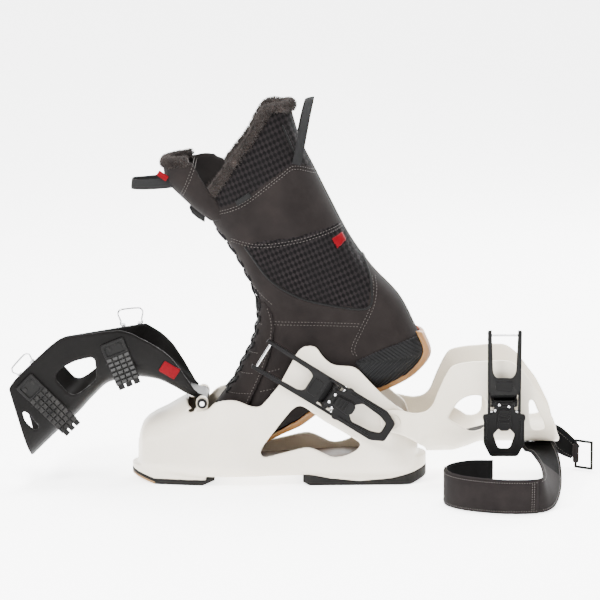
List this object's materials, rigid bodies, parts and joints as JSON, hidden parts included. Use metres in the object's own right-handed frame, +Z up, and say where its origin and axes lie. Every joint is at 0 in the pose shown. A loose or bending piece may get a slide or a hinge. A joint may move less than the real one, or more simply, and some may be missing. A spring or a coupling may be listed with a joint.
{
  "type": "ski touring boot",
  "caption": "Openable three-piece ski touring boot, stored open: lower shell, hinged front tongue, folding rear cuff, buckles, strap and walkable inner boot.",
  "frame": {"origin": "centre of the heel pad's ground face", "axes": "+X from the toe to the heel, +Z up, -Y the outer side of this left boot"},
  "size_m": [0.6311, 0.228, 0.412],
  "materials": {
    "shell_plastic": "satin moulded",
    "tongue_plastic": "satin outside, glossy inside",
    "cuff_plastic": "satin moulded",
    "sole_rubber": "matt",
    "gum_rubber": "matt",
    "board_foam": "matt",
    "hinge_plastic": "matt",
    "bright_metal": "polished",
    "steel": "brushed",
    "buckle_metal": "black anodised",
    "rack_plastic": "fine grained",
    "label_red": "satin",
    "spoiler_foam": "matt",
    "spoiler_tan": "matt",
    "strap_suede": "napped",
    "liner_suede": "napped suede with mesh panels",
    "outsole_gum": "matt",
    "rand_rubber": "matt",
    "fur": "deep pile",
    "webbing": "woven",
    "insole_foam": "matt"
  },
  "bodies": {
    "lower_boot": {"lower_shell": "shell_plastic", "sole_pad_front": "sole_rubber", "toe_tip": "gum_rubber", "sole_pad_heel": "sole_rubber", "sole_screws": "steel", "boot_board": "board_foam", "toe_hinge_block": "hinge_plastic", "toe_hinge_pin": "bright_metal", "toe_grommets": "sole_rubber", "cuff_pivot_pins": "bright_metal", "instep_buckle_base": "buckle_metal", "instep_base_screws": "bright_metal", "medial_catch": "buckle_metal"},
    "tongue": {"tongue_shell": "tongue_plastic", "tongue_knuckle": "tongue_plastic", "rack_instep": "rack_plastic", "rack_cuff": "rack_plastic", "rack_screws": "bright_metal", "label_plate": "label_red", "bail_anchors": "steel"},
    "bail_a": {"bail_instep": "bright_metal"},
    "bail_b": {"bail_cuff": "bright_metal"},
    "cuff": {"cuff_shell": "cuff_plastic", "cuff_pivot_rings": "steel", "spoiler_base": "spoiler_tan", "spoiler_pad": "spoiler_foam", "cuff_buckle_base": "buckle_metal", "cuff_base_screws": "bright_metal", "cuff_catch": "buckle_metal", "power_strap": "strap_suede", "strap_rivets": "bright_metal"},
    "ring": {"strap_ring": "buckle_metal"},
    "instep_lever_body": {"instep_lever": "buckle_metal"},
    "instep_frame_body": {"instep_frame": "buckle_metal"},
    "cuff_lever_body": {"cuff_lever": "buckle_metal"},
    "cuff_frame_body": {"cuff_frame": "buckle_metal"},
    "liner": {"liner_upper": "liner_suede", "liner_outsole": "outsole_gum", "heel_rand": "rand_rubber", "insole": "insole_foam", "liner_tongue": "fur", "collar_fur": "fur", "liner_laces": "webbing", "lace_hooks": "rack_plastic", "front_pull_loop": "webbing", "rear_pull_loop": "webbing", "liner_clip": "rack_plastic"}
  },
  "joints": [
    {"name": "cuff_hinge", "type": "hinge", "parent": "lower_boot", "child": "cuff", "pos_m": [0.03, 0, 0.072], "axis": [0, -1, 0], "range_deg": [0, 95]},
    {"name": "tongue_hinge", "type": "hinge", "parent": "lower_boot", "child": "tongue", "pos_m": [-0.172, 0, 0.09], "axis": [0, 1, 0], "range_deg": [0, 108]},
    {"name": "liner_seat", "type": "hinge", "parent": "lower_boot", "child": "liner", "pos_m": [-0.1725, 0, 0.172], "axis": [0, 1, 0], "range_deg": [0, 20.5]},
    {"name": "instep_lever_turn", "type": "hinge", "parent": "lower_boot", "child": "instep_lever_body", "pos_m": [-0.036, -0.0538, 0.101], "axis": [-0.527, 0, -0.8499], "range_deg": [0, 105]},
    {"name": "instep_frame_turn", "type": "hinge", "parent": "instep_lever_body", "child": "instep_frame_body", "pos_m": [-0.02835, -0.0538, 0.09626], "axis": [-0.527, 0, -0.8499], "range_deg": [-115.51, 0]},
    {"name": "cuff_lever_turn", "type": "hinge", "parent": "cuff", "child": "cuff_lever_body", "pos_m": [0.147, -0.0612, 0.095], "axis": [-1, 0, 0], "range_deg": [0, 105]},
    {"name": "cuff_frame_turn", "type": "hinge", "parent": "cuff_lever_body", "child": "cuff_frame_body", "pos_m": [0.147, -0.0612, 0.086], "axis": [-1, 0, 0], "range_deg": [-115.51, 0]},
    {"name": "instep_bail_turn", "type": "hinge", "parent": "tongue", "child": "bail_a", "pos_m": [-0.25, 0.0512, 0.159], "axis": [-0.9945, 0, -0.1045], "range_deg": [0, 60]},
    {"name": "cuff_bail_turn", "type": "hinge", "parent": "tongue", "child": "bail_b", "pos_m": [-0.364, 0.0529, 0.11], "axis": [-0.6691, 0, -0.7431], "range_deg": [0, 60]},
    {"name": "strap_ring_turn", "type": "hinge", "parent": "cuff", "child": "ring", "pos_m": [0.231, 0.046, 0.018], "axis": [0, 0, 1], "range_deg": [-35, 30]}
  ],
  "couplings": [
    {"joint": "tongue_hinge", "follows": "cuff_hinge", "ratio": 1.1368},
    {"joint": "liner_seat", "follows": "cuff_hinge", "ratio": 0.21578},
    {"joint": "instep_frame_turn", "follows": "instep_lever_turn", "ratio": -1.1},
    {"joint": "cuff_frame_turn", "follows": "cuff_lever_turn", "ratio": -1.1}
  ]
}
